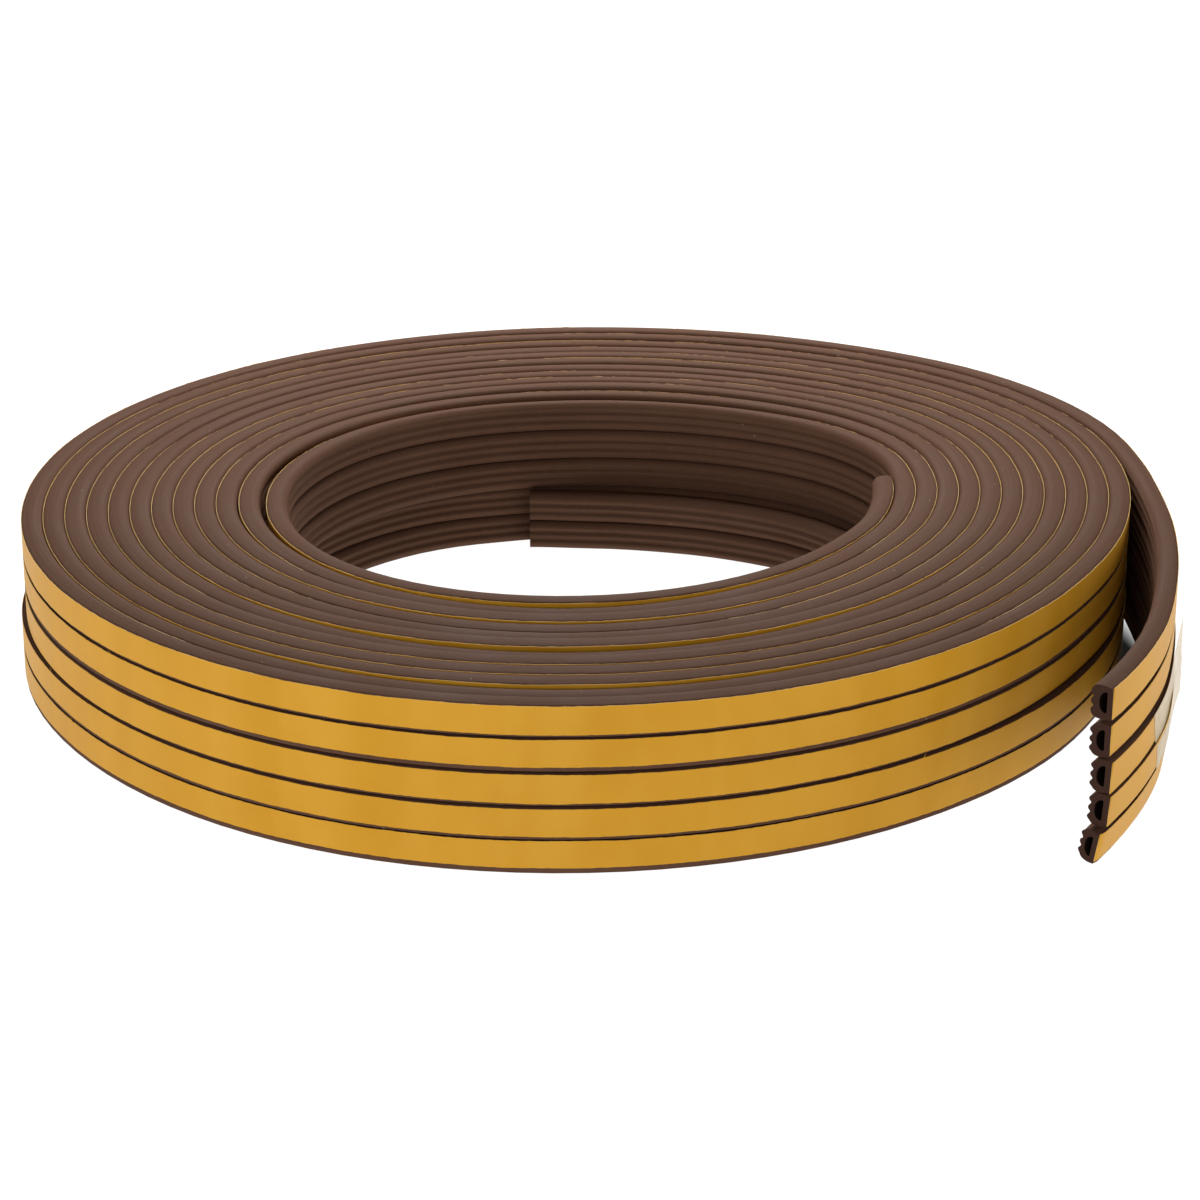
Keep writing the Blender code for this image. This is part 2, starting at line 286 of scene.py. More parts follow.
    def lift(self, angle: np.ndarray, number: int) -> np.ndarray:
        """Give how far a strip stands above its plain height; the lowest one rests on the floor.

        Every turn has its own height at the back and in front, as bells round these two
        sides; the cut end of the tail has its own rise. Lower strips share in it less.
        """
        lifts = self.uneven * wander(angle, self.uneven_scale, self.uneven_seed)
        for turn, (back, front) in enumerate(zip(self.back_lifts, self.front_lifts)):
            lifts += back * self.slack(angle, 360.0 * turn + self.back_angle, self.back_width)
            lifts += front * self.slack(angle, 360.0 * turn + self.front_angle, self.front_width)
        share = (self.strip_count - number) / (self.strip_count - 1)
        near = self.near_cut(angle)
        return share * lifts * (1.0 - near) + self.cut_rise[number - 1] * near

    def middle(self, number: int) -> float:
        """Give the plain height of a strip's middle."""
        return (self.strip_count - number + 0.5) * self.strip_pitch

    def route(self, angle: np.ndarray, number: int) -> Route:
        """Carry the back of a strip round the roll.

        The point is the axis plus the radius along the angle's direction. The tangent is the
        point's change along the angle, made one long, and the outward direction is the
        tangent turned a quarter clockwise. Near the cut and on the innermost turn, outward
        and up lean together about the tangent.

        Args:
            angle: unwrapped angles (n).
            number: the strip's number.

        Returns:
            The route.
        """
        a = np.radians(angle)
        radius = self.back_radius(angle, number)
        height = self.middle(number) + self.lift(angle, number)
        points = np.column_stack((radius * np.cos(a) + self.axis_x, radius * np.sin(a), height))
        along = np.gradient(points[:, :2], angle, axis=0)
        along /= np.linalg.norm(along, axis=1)[:, None]
        lean = np.radians(self.cut_lean[number - 1]) * self.near_cut(angle)
        lean = lean + np.radians(self.inner_lean[number - 1]) * self.slack(angle, *self.lean_at)
        level = np.column_stack((along[:, 1], -along[:, 0]))
        outward = np.column_stack((level * np.cos(lean)[:, None], -np.sin(lean)))
        up = np.column_stack((level * np.sin(lean)[:, None], np.cos(lean)))
        steps = np.linalg.norm(np.diff(points, axis=0), axis=1)
        run = np.concatenate(([0.0], np.cumsum(steps)))
        return Route(points, np.column_stack((along, 0.0 * lean)), outward, up, run)


@dataclass(frozen=True)
class StripSection:
    """The D-section of the rubber strip: depth runs inwards from the flat back, rise upwards."""

    # Upper half from the back's edge to the crown: depth and rise when free, depth and rise when wound
    half: tuple = (
        (0.0, 3.75, 0.0, 4.15), (0.06, 3.93, 0.05, 4.3), (0.24, 4.05, 0.2, 4.38),
        (0.85, 4.19, 0.8, 4.43), (1.6, 4.35, 1.6, 4.46), (2.35, 4.42, 2.5, 4.46),
        (3.15, 4.38, 3.4, 4.43), (3.85, 4.18, 4.2, 4.34), (4.35, 3.82, 4.85, 4.1),
        (4.6, 3.48, 5.3, 3.7), (4.95, 3.15, 5.55, 3.25), (5.25, 2.85, 5.66, 2.85),
        (5.4, 2.45, 5.7, 2.45), (5.3, 2.05, 5.64, 2.05), (4.97, 1.7, 5.4, 1.72),
        (4.72, 1.4, 5.08, 1.4), (4.72, 1.05, 5.08, 1.05), (4.97, 0.76, 5.4, 0.74),
        (5.3, 0.4, 5.64, 0.4),
    )
    crown: tuple = (5.4, 5.7)
    # How far the upper back shoulder of a wound strip is rolled down
    shoulder: float = 0.5
    shoulder_depth: float = 2.8
    # The bore is a superellipse half of this power, with its foot corners cut
    bore_power: float = 2.3
    bore_corner: float = 0.35
    bore_turn: tuple = (6.0, 28.0, 52.0, 76.0, 104.0, 128.0, 152.0, 174.0)
    bore_height: float = 5.6
    bore_start: float = 1.55
    bore_depth: float = 2.2

    def outline(self, wound: bool) -> np.ndarray:
        """Give the closed outline: flat back, bulging flanks and a face with three ridges.

        Args:
            wound: whether the strip is pressed by its neighbours in the coil.

        Returns:
            Points (n, 2) of (depth, rise), from the upper back edge over the crown to the
            lower back edge.
        """
        columns = slice(2, 4) if wound else slice(0, 2)
        half = np.array(self.half)[:, columns]
        crown = np.array([[self.crown[int(wound)], 0.0]])
        upper = half.copy()
        if wound:
            upper[:, 1] -= self.shoulder * np.clip(1.0 - upper[:, 0] / self.shoulder_depth, 0.0, 1.0)
        return np.concatenate((upper, crown, half[::-1] * np.array([1.0, -1.0])))

    def bore(self) -> np.ndarray:
        """Give the closed outline of the bore: flat towards the back, round towards the crown.

        A superellipse half with its flat side on the back wall; its foot corners are cut.

        Returns:
            Points (n, 2) of (depth, rise), in the same sense as the outline.
        """
        turn = np.radians(self.bore_turn)
        power = 2.0 / self.bore_power
        depth = self.bore_start + self.bore_depth * np.sin(turn) ** power
        rise = self.bore_height / 2 * np.sign(np.cos(turn)) * np.abs(np.cos(turn)) ** power
        arc = np.column_stack((depth, rise))
        foot = self.bore_height / 2 - self.bore_corner
        ends = np.array([[self.bore_start, foot], [self.bore_start, -foot]])
        return np.concatenate((ends[:1], arc, ends[1:]))


def ring_faces(rings: int, around: int, first: int, inward: bool) -> np.ndarray:
    """Join rings of points into quads.

    Args:
        rings: how many rings lie one behind the other.
        around: how many points each ring has.
        first: the number of the first point.
        inward: whether the surface is seen from inside, as a bore is.

    Returns:
        Quads (n, 4) of point numbers.
    """
    ring = np.arange(rings - 1)[:, None] * around
    at = np.arange(around)[None, :]
    after = (at + 1) % around
    quads = np.stack((ring + at, ring + around + at, ring + around + after, ring + after), axis=-1)
    quads = quads.reshape(-1, 4) + first
    return quads[:, ::-1] if inward else quads


def annulus_faces(outer: np.ndarray, inner: np.ndarray) -> np.ndarray:
    """Fill between an outer and an inner closed outline with triangles.

    Both outlines are read by their angle round the inner one's centre, starting at the back.
    Going round, each next point of either outline closes one triangle with the last point of
    the other.

    Args:
        outer: points (n, 2).
        inner: points (m, 2), in the same sense.

    Returns:
        Triangles (n + m, 3) that face against the sweep; inner point k has the number n + k.
    """
    centre = inner.mean(axis=0)
    loops = np.concatenate((outer, inner)) - centre
    order = np.argsort(math.pi - np.arctan2(loops[:, 1], loops[:, 0]), kind="stable")
    is_outer = order < len(outer)
    at_outer = (np.cumsum(is_outer) - 1) % len(outer)
    at_inner = (np.cumsum(~is_outer) - 1) % len(inner)
    before_outer = (at_outer - 1) % len(outer)
    before_inner = (at_inner - 1) % len(inner)
    step_outer = np.column_stack((before_outer, at_outer, at_inner + len(outer)))
    step_inner = np.column_stack((at_outer, at_inner + len(outer), before_inner + len(outer)))
    return np.where(is_outer[:, None], step_outer, step_inner)


def make_piece(
    name: str, points: np.ndarray, faces: list, uvs: list, sharp: np.ndarray
) -> bpy.types.Object:
    """Put a surface into a mesh object at the origin.

    Args:
        name: the piece's name.
        points: points (n, 3) in millimetres.
        faces: arrays of faces, each (n, corners) of point numbers.
        uvs: for each of those arrays, (n, corners, 2) of places on the surface in millimetres.
        sharp: for each point a group number; an edge within one group above 0 is kept sharp.

    Returns:
        The new object.
    """
    mesh = bpy.data.meshes.new(name)
    corners = np.concatenate([f.ravel() for f in faces]).astype(np.int32)
    sizes = np.concatenate([np.full(len(f), f.shape[1]) for f in faces])
    starts = np.concatenate(([0], np.cumsum(sizes)[:-1])).astype(np.int32)
    mesh.vertices.add(len(points))
    mesh.vertices.foreach_set("co", (points * MM).astype(np.float32).ravel())
    mesh.loops.add(len(corners))
    mesh.loops.foreach_set("vertex_index", corners)
    mesh.polygons.add(len(starts))
    mesh.polygons.foreach_set("loop_start", starts)
    mesh.update(calc_edges=True)
    places = np.concatenate([u.reshape(-1, 2) for u in uvs]) * MM
    layer = mesh.uv_layers.new(name="run")
    layer.uv.foreach_set("vector", places.astype(np.float32).ravel())
    mesh.shade_smooth()
    ends = np.zeros(len(mesh.edges) * 2, np.int32)
    mesh.edges.foreach_get("vertices", ends)
    groups = sharp[ends.reshape(-1, 2)]
    kept = (groups[:, 0] == groups[:, 1]) & (groups[:, 0] > 0)
    mark = mesh.attributes.new("sharp_edge", "BOOLEAN", "EDGE")
    mark.data.foreach_set("value", kept)
    mesh.validate()
    piece = bpy.data.objects.new(name, mesh)
    bpy.context.scene.collection.objects.link(piece)
    return piece


class NodeSketch:
    """A short hand for putting nodes into one tree."""

    def __init__(self, tree: bpy.types.NodeTree) -> None:
        """Take the tree that the nodes go into."""
        self.tree = tree

    def node(self, kind: str, feeds: dict | None = None, **settings: object) -> bpy.types.Node:
        """Add a node; settings are its own properties, feeds are values or sockets for its inputs."""
        made = self.tree.nodes.new(kind)
        for name, value in settings.items():
            setattr(made, name, value)
        for key, value in (feeds or {}).items():
            if isinstance(value, bpy.types.NodeSocket):
                self.tree.links.new(value, made.inputs[key])
            else:
                made.inputs[key].default_value = value
        return made

    def place(self) -> bpy.types.NodeSocket:
        """Add the place in the object and return it."""
        return self.node("ShaderNodeTexCoord").outputs["Object"]

    def run(self) -> bpy.types.NodeSocket:
        """Add the place on the swept surface and return it."""
        return self.node("ShaderNodeUVMap", uv_map="run").outputs["UV"]

    def mark(self, name: str) -> bpy.types.NodeSocket:
        """Add an attribute of the mesh's faces and return it."""
        return self.node("ShaderNodeAttribute", attribute_name=name).outputs["Fac"]

    def math(self, operation: str, first: object, second: object = 0.0) -> bpy.types.NodeSocket:
        """Add a Math node and return its value."""
        return self.node("ShaderNodeMath", {0: first, 1: second}, operation=operation).outputs[0]

    def vector(self, operation: str, feeds: dict, output: str = "Vector") -> bpy.types.NodeSocket:
        """Add a Vector Math node and return one of its outputs."""
        return self.node("ShaderNodeVectorMath", feeds, operation=operation).outputs[output]

    def noise(
        self, vector: object, scale: object, detail: float = 2.0, rough: float = 0.5
    ) -> bpy.types.NodeSocket:
        """Add a Noise Texture and return its value, 0 to 1."""
        feeds = {"Vector": vector, "Scale": scale, "Detail": detail, "Roughness": rough}
        return self.node("ShaderNodeTexNoise", feeds).outputs["Fac"]

    def stretch(self, vector: object, scale: tuple) -> bpy.types.NodeSocket:
        """Add a Mapping node that scales a place and return it."""
        return self.node("ShaderNodeMapping", {"Vector": vector, "Scale": scale}).outputs["Vector"]

    def span(
        self, value: object, source: tuple, target: tuple = (0.0, 1.0), **settings: object
    ) -> bpy.types.NodeSocket:
        """Add a clamped Map Range from one pair of ends to another and return its result."""
        feeds = dict(zip(("From Min", "From Max", "To Min", "To Max"), source + target))
        return self.node("ShaderNodeMapRange", {"Value": value} | feeds, **settings).outputs["Result"]

    def blend(self, share: object, first: object, second: object) -> bpy.types.NodeSocket:
        """Add a colour Mix and return its colour."""
        return self.node("ShaderNodeMix", {0: share, 6: first, 7: second}, data_type="RGBA").outputs[2]

    def group(self, tree: bpy.types.NodeTree, **values: object) -> dict:
        """Add a node group with its inputs by name and return its outputs by name."""
        made = self.node("ShaderNodeGroup", values, node_tree=tree)
        return {socket.name: socket for socket in made.outputs}


def make_group(name: str, inputs: dict, fill: Callable) -> bpy.types.NodeTree:
    """Make a shader node group that takes a place and named numbers.

    Args:
        name: the group's name.
        inputs: the default of each number by name.
        fill: takes the sketch and the inputs by name and returns the outputs by name.

    Returns:
        The group.
    """
    tree = bpy.data.node_groups.new(name, "ShaderNodeTree")
    tree.interface.new_socket(name="Place", in_out="INPUT", socket_type="NodeSocketVector")
    for label, default in inputs.items():
        socket = tree.interface.new_socket(name=label, in_out="INPUT", socket_type="NodeSocketFloat")
        socket.default_value = default
    sketch = NodeSketch(tree)
    entry = sketch.node("NodeGroupInput")
    made = fill(sketch, {s.name: s for s in entry.outputs if s.name})
    for label, source in made.items():
        kind = "NodeSocketVector" if source.type == "VECTOR" else "NodeSocketFloat"
        tree.interface.new_socket(name=label, in_out="OUTPUT", socket_type=kind)
    sketch.node("NodeGroupOutput", made)
    return tree


class SurfaceEffects:
    """The effects that several finishes share, each a node group."""

    def __init__(self) -> None:
        """Build the groups once."""
        self.grain = make_group("fine grain", {"Size": 2500.0, "Height": 0.2}, self.fill_grain)
        self.mottle = make_group("slow mottle", {"Size": 60.0}, self.fill_mottle)
        self.specks = make_group("dust specks", {"Size": 400.0, "Share": 0.05}, self.fill_specks)

    def fill_grain(self, sketch: NodeSketch, entry: dict) -> dict:
        """Add fine grain: noise at two sizes, as a value and as a bumped normal."""
        fine = sketch.noise(entry["Place"], entry["Size"], 3.0, 0.6)
        coarse = sketch.noise(entry["Place"], sketch.math("MULTIPLY", entry["Size"], 0.23))
        fine_part = sketch.math("MULTIPLY", fine, 0.65)
        value = sketch.math("ADD", fine_part, sketch.math("MULTIPLY", coarse, 0.35))
        feeds = {"Distance": 0.00006, "Strength": entry["Height"], "Height": value}
        return {"Value": value, "Normal": sketch.node("ShaderNodeBump", feeds).outputs["Normal"]}

    def fill_mottle(self, sketch: NodeSketch, entry: dict) -> dict:
        """Add slow patchiness: a wide noise, spread to run from 0 to 1."""
        wide = sketch.noise(entry["Place"], entry["Size"], 3.0, 0.55)
        return {"Value": sketch.span(wide, (0.3, 0.7))}

    def fill_specks(self, sketch: NodeSketch, entry: dict) -> dict:
        """Add sparse specks: small round spots in few of the cells of a grid of random points."""
        feeds = {"Vector": entry["Place"], "Scale": entry["Size"]}
        cells = sketch.node("ShaderNodeTexVoronoi", feeds)
        spot = sketch.span(cells.outputs["Distance"], (0.1, 0.2), (1.0, 0.0))
        split = sketch.node("ShaderNodeSeparateColor", {0: cells.outputs["Color"]})
        chosen = sketch.math("LESS_THAN", split.outputs[0], entry["Share"])
        return {"Mask": sketch.math("MULTIPLY", spot, chosen)}


class Finish:
    """A material of one Principled shader, whose inputs each kind of finish gives."""

    name: str

    def looks(self, sketch: NodeSketch, effects: SurfaceEffects) -> dict:
        """Give the shader's inputs by name, each a plain value or a socket."""
        raise NotImplementedError

    def make(self, effects: SurfaceEffects) -> bpy.types.Material:
        """Build the material.

        Args:
            effects: the shared node groups.

        Returns:
            The material.
        """
        material = bpy.data.materials.new(self.name)
        material.use_nodes = True
        material.node_tree.nodes.clear()
        sketch = NodeSketch(material.node_tree)
        shader = sketch.node("ShaderNodeBsdfPrincipled", self.looks(sketch, effects))
        sketch.node("ShaderNodeOutputMaterial", {"Surface": shader.outputs[0]})
        return material


@dataclass(frozen=True)
class RubberFinish(Finish):
    """Solid brown sealing rubber: matt, finely grained, with a faint bloom and drawing lines."""

    name: str = "seal rubber"
    deep: tuple = (0.093, 0.0435, 0.0255, 1.0)
    plain: tuple = (0.11, 0.054, 0.0325, 1.0)
    bloom: tuple = (0.14, 0.079, 0.052, 1.0)
    dust: tuple = (0.3, 0.25, 0.2, 1.0)
    # cut faces: the cut rubber's own darker brown, made darker still as painted shade on the cut ends
    cut: tuple = (0.05, 0.024, 0.017, 1.0)
    # painted shade: the inside of each strip's bore, nearly black
    hollow: tuple = (0.014, 0.008, 0.006, 1.0)
    roughness: float = 0.65
    specular: float = 0.045

    def looks(self, sketch: NodeSketch, effects: SurfaceEffects) -> dict:
        """Give a mottled brown with lines, grain and dust; the cut faces are darker, partly their own
        tone and partly painted shade, and the strip's bore is painted nearly black as shade.
        """
        place = sketch.place()
        grain = sketch.group(effects.grain, Place=place, Size=2600.0, Height=0.22)
        mottle = sketch.group(effects.mottle, Place=place, Size=55.0)["Value"]
        dust = sketch.group(effects.specks, Place=place, Size=560.0, Share=0.012)["Mask"]
        lines = sketch.noise(sketch.stretch(sketch.run(), (14.0, 1500.0, 1.0)), 1.0, 3.0, 0.55)
        base = sketch.blend(sketch.span(mottle, (0.0, 1.0), (0.15, 0.85)), self.deep, self.plain)
        drawn = sketch.blend(sketch.span(lines, (0.42, 0.78), (0.0, 0.5)), base, self.bloom)
        fine = sketch.span(grain["Value"], (0.45, 0.8), (0.0, 0.45))
        grained = sketch.blend(fine, drawn, self.bloom)
        dusty = sketch.blend(sketch.math("MULTIPLY", dust, 0.5), grained, self.dust)
        # cut faces: their own darker tone plus painted shade
        faced = sketch.blend(sketch.mark("cut"), dusty, self.cut)
        rough = (self.roughness - 0.05, self.roughness + 0.07)
        return {
            # the bore's faces take the painted shade colour
            "Base Color": sketch.blend(sketch.mark("hollow"), faced, self.hollow),
            "Roughness": sketch.span(mottle, (0.0, 1.0), rough),
            "Specular IOR Level": self.specular,
            "Normal": grain["Normal"],
        }


@dataclass(frozen=True)
class PaperFinish(Finish):
    """Amber siliconised paper: satin, with crosswise cloudiness, fine fibres and paler torn edges."""

    name: str = "amber release paper"
    deep: tuple = (0.62, 0.295, 0.012, 1.0)
    plain: tuple = (0.7, 0.345, 0.022, 1.0)
    pale: tuple = (0.75, 0.4, 0.045, 1.0)
    fibre: tuple = (0.78, 0.55, 0.22, 1.0)
    roughness: float = 0.48
    specular: float = 0.16

    def looks(self, sketch: NodeSketch, effects: SurfaceEffects) -> dict:
        """Give a mottled amber with bands and fibres, paler where the edge is torn."""
        place = sketch.place()
        run = sketch.run()
        grain = sketch.group(effects.grain, Place=place, Size=1500.0, Height=0.12)
        mottle = sketch.group(effects.mottle, Place=place, Size=34.0)["Value"]
        bands = sketch.noise(sketch.stretch(run, (70.0, 25.0, 1.0)), 1.0, 2.0, 0.5)
        fibres = sketch.noise(sketch.stretch(run, (420.0, 3200.0, 1.0)), 1.0, 2.0, 0.6)
        base = sketch.blend(sketch.span(mottle, (0.0, 1.0), (0.25, 0.9)), self.deep, self.plain)
        banded = sketch.blend(sketch.span(bands, (0.4, 0.75), (0.0, 0.55)), base, self.pale)
        fibred = sketch.blend(sketch.span(fibres, (0.55, 0.85), (0.0, 0.25)), banded, self.deep)
        patchy = sketch.span(grain["Value"], (0.35, 0.65), (0.35, 0.9))
        torn = sketch.math("MULTIPLY", sketch.mark("torn"), patchy)
        rough = (self.roughness - 0.05, self.roughness + 0.06)
        return {
            "Base Color": sketch.blend(torn, fibred, self.fibre),
            "Roughness": sketch.span(bands, (0.3, 0.7), rough),
            "Specular IOR Level": self.specular,
            "Normal": grain["Normal"],
        }


@dataclass(frozen=True)
class FilmFinish(Finish):
    """Milky tape film: thin, half see-through, with faint cloudy glue under it."""

    name: str = "milky tape film"
    milk: tuple = (0.76, 0.62, 0.37, 1.0)
    clear: tuple = (0.8, 0.62, 0.32, 1.0)
    roughness: float = 0.28
    cover: float = 0.6

    def looks(self, sketch: NodeSketch, effects: SurfaceEffects) -> dict:
        """Give a cloudy tint that covers more where it is milkier."""
        place = sketch.place()
        mottle = sketch.group(effects.mottle, Place=place, Size=210.0)["Value"]
        grain = sketch.group(effects.grain, Place=place, Size=1800.0, Height=0.1)
        return {
            "Base Color": sketch.blend(mottle, self.clear, self.milk),
            "Roughness": self.roughness,
            "Alpha": sketch.span(mottle, (0.0, 1.0), (self.cover - 0.1, self.cover + 0.12)),
            "Normal": grain["Normal"],
        }


@dataclass(frozen=True)
class FloorFinish(Finish):
    """The plain pale studio floor, which glows white, with a painted shadow in the deep gap by the
    tail.
    """

    name: str = "studio floor"
    colour: tuple = (0.15, 0.15, 0.15, 1.0)
    # colour of the painted shadow on the floor between the roll and its tail
    painted_shadow: tuple = (0.005, 0.005, 0.005, 1.0)
    white: tuple = (1.0, 1.0, 1.0, 1.0)
    roughness: float = 0.9
    specular: float = 0.1
    glow: float = 1.0
    # A painted shadow between the roll and its tail, where the floor hardly glows: its middle, its
    # half width and length, its glow, and the shares of its half size between which it fades
    spot: tuple = (0.1465, -0.02, 0.0)
    shadow_width: float = 0.012
    shadow_length: float = 0.05
    shadow_glow: float = 0.01
    shadow_edge: tuple = (0.45, 1.15)

    def looks(self, sketch: NodeSketch, effects: SurfaceEffects) -> dict:
        """Give a matt grey that glows, dimmed to a painted shadow by the distance from the spot's
        middle.
        """
        away = sketch.vector("SUBTRACT", {0: sketch.place(), 1: self.spot})
        scale = (1.0 / self.shadow_width, 1.0 / self.shadow_length, 0.0)
        scaled = sketch.vector("MULTIPLY", {0: away, 1: scale})
        length = sketch.vector("LENGTH", {0: scaled}, "Value")
        target = (self.shadow_glow, self.glow)
        lit = sketch.span(length, self.shadow_edge, target, interpolation_type="SMOOTHSTEP")
        return {
            # dark painted shadow in the spot, matt grey where the floor glows
            "Base Color": sketch.blend(lit, self.painted_shadow, self.colour),
            "Roughness": self.roughness,
            "Specular IOR Level": self.specular,
            "Emission Color": self.white,
            "Emission Strength": lit,
        }


@dataclass
class SealStrip:
    """One D-section rubber strip through the whole roll."""

    number: int
    winding: Winding
    section: StripSection = field(default_factory=StripSection)
    bore_pressed: float = 0.93
    # From where to where the coil presses the strip
    pressed_along: tuple = (-12.0, 30.0)
    # How much the last turn is freed, and from where to where before its end
    last_turn_freed: float = 0.55
    freed_along: tuple = (372.0, 345.0)
    # How far the cut ends of strips 1 to 5 stay pressed flat
    cut_pressed: tuple = (0.9, 0.2, 0.0, 0.0, 0.0)
    sections_a_turn: int = 96
    spacing_steps: int = 6001
    # Sections close to both ends, and how far the even ones stay away from them
    start_steps: tuple = (0.12, 0.5, 1.2)
    end_steps: tuple = (2.4, 0.9, 0.25)
    start_free: float = 2.6
    end_free: float = 4.5
    # How askew the inner end of an upper strip is, and over what angle
    end_slant: float = 0.42
    slant_along: float = 4.0

    def angles(self) -> np.ndarray:
        """Give the angles of the sections: closer together on the wide outer turns and at both ends.

        Returns:
            Unwrapped angles, rising.
        """
        start = self.winding.start_angle(self.number)
        end = self.winding.end_angle(self.number)
        dense = np.linspace(start, end, self.spacing_steps)
        radius = self.winding.back_radius(dense, self.number)
        weight = np.cumsum(np.sqrt(radius / self.winding.mean_radius))
        weight = (weight - weight[0]) / (weight[-1] - weight[0])
        count = int((end - start) / 360.0 * self.sections_a_turn)
        middle = np.interp(np.linspace(0.0, 1.0, count), weight, dense)
        middle = middle[(middle > start + self.start_free) & (middle < end - self.end_free)]
        start_run = start + np.array(self.start_steps)
        end_run = end - np.array(self.end_steps)
        return np.concatenate(([start], start_run, middle, end_run, [end]))

    def pressed(self, angle: np.ndarray) -> np.ndarray:
        """Give how far the strip is pressed: not in the tail, wholly in the coil, half at its end."""
        end = self.winding.end_angle(self.number)
        freed = ease(angle, end - self.freed_along[0], end - self.freed_along[1])
        wound = ease(angle, *self.pressed_along) * (1.0 - self.last_turn_freed * freed)
        return wound + self.cut_pressed[self.number - 1] * self.winding.near_cut(angle)

    def sweep(self, free: np.ndarray, wound: np.ndarray, angle: np.ndarray) -> np.ndarray:
        """Carry an outline along the strip.

        The outline goes from its free to its wound shape as the strip is pressed. A point is
        the back's point, less the depth along the outward direction, plus the rise along the
        up direction. The inner end of an upper strip is cut askew: the deeper the point, the
        further it stays behind.

        Args:
            free: points (k, 2) of (depth, rise) where nothing presses.
            wound: the same points where the coil presses.
            angle: unwrapped angles (n).

        Returns:
            Points (n, k, 3).
        """
        route = self.winding.route(angle, self.number)
        share = self.pressed(angle)[:, None, None]
        outline = free[None] * (1.0 - share) + wound[None] * share
        depth = outline[..., 0]
        lag = np.zeros_like(depth)
        if self.winding.place(self.number) is Place.UPPER:
            near_end = ease(angle, angle[-1] - self.slant_along, angle[-1])
            lag = -self.end_slant * near_end[:, None] * depth
        return route.at(-depth, outline[..., 1]) + lag[..., None] * route.along[:, None]

    def build(self) -> bpy.types.Object:
        """Build the strip: its outside, its bore and a ring of cut face at each end.

        Returns:
            The piece.
        """
        angle = self.angles()
        run = self.winding.route(angle, self.number).run
        outline = self.section.outline(wound=False)
        bore = self.section.bore()
        rings, outer, inner = len(angle), len(outline), len(bore)
        body = self.sweep(outline, self.section.outline(wound=True), angle).reshape(-1, 3)
        hollow = self.sweep(bore, bore * np.array([self.bore_pressed, 1.0]), angle).reshape(-1, 3)
        first_hollow = rings * outer
        points = np.concatenate((body, hollow))
        body_faces = ring_faces(rings, outer, 0, inward=False)
        hollow_faces = ring_faces(rings, inner, first_hollow, inward=True)
        cap = annulus_faces(outline, bore)
        start_cap = np.where(cap < outer, cap, cap - outer + first_hollow)
        end_cap = np.where(
            cap < outer, cap + (rings - 1) * outer, cap - outer + first_hollow + (rings - 1) * inner
        )[:, ::-1]
        flat = np.concatenate((outline, bore))
        uvs = [
            ring_places(run, outline, inward=False),
            ring_places(run, bore, inward=True),
            flat[cap],
            flat[cap][:, ::-1],
        ]
        group = np.zeros(len(points), int)
        group[:outer] = 1
        group[first_hollow - outer:first_hollow] = 2
        group[first_hollow:first_hollow + inner] = 3
        group[-inner:] = 4
        faces = [body_faces, hollow_faces, start_cap, end_cap]
        piece = make_piece(f"strip_{self.number}", points, faces, uvs, group)
        kinds = np.repeat((0, 1, 2), (len(body_faces), len(hollow_faces), 2 * len(cap)))
        # faces of the cut ends (own darker tone plus painted shade) and of the bore (painted shade)
        mark_faces(piece, "cut", kinds == 2)
        mark_faces(piece, "hollow", kinds == 1)
        return piece


def ring_places(run: np.ndarray, outline: np.ndarray, inward: bool) -> np.ndarray:
    """Give the surface places of the quads of ring_faces.

    The first value is the run length along the sweep, the second the way round the outline.

    Args:
        run: run length of each ring.
        outline: the closed outline (k, 2).
        inward: as in ring_faces.

    Returns:
        Places (n, 4, 2), one for each corner.
    """
    closed = np.concatenate((outline, outline[:1]))
    way = np.concatenate(([0.0], np.cumsum(np.linalg.norm(np.diff(closed, axis=0), axis=1))))
    shape = (len(run) - 1, len(outline), 4)
    ring = np.arange(len(run) - 1)[:, None, None] + np.array([0, 1, 1, 0])
    at = np.arange(len(outline))[:, None] + np.array([0, 0, 1, 1])
    places = (np.broadcast_to(run[ring], shape), np.broadcast_to(way[at], shape))
    places = np.stack(places, axis=-1).reshape(-1, 4, 2)
    return places[:, ::-1] if inward else places


def closed_band(
    rings: int, run: np.ndarray, section: np.ndarray, inward: bool, first: int = 0
) -> tuple:
    """Join rings of points and close both ends with one face each.

    Args:
        rings: how many rings there are.
        run: run length of each ring.
        section: the rings' closed outline (k, 2).
        inward: as in ring_faces.
        first: the number of the first point.

    Returns:
        The faces and the surface places, as make_piece takes them.
    """
    around = len(section)
    cap = np.arange(around)[None, :] + first
    faces = [ring_faces(rings, around, first, inward), cap, cap[:, ::-1] + (rings - 1) * around]
    return faces, [ring_places(run, section, inward), section[None], section[None, ::-1]]


def mark_faces(piece: bpy.types.Object, name: str, values: np.ndarray) -> None:
    """Give the faces of a piece an attribute, one value for each face."""
    attribute = piece.data.attributes.new(name, "FLOAT", "FACE")
    attribute.data.foreach_set("value", values.astype(np.float32))


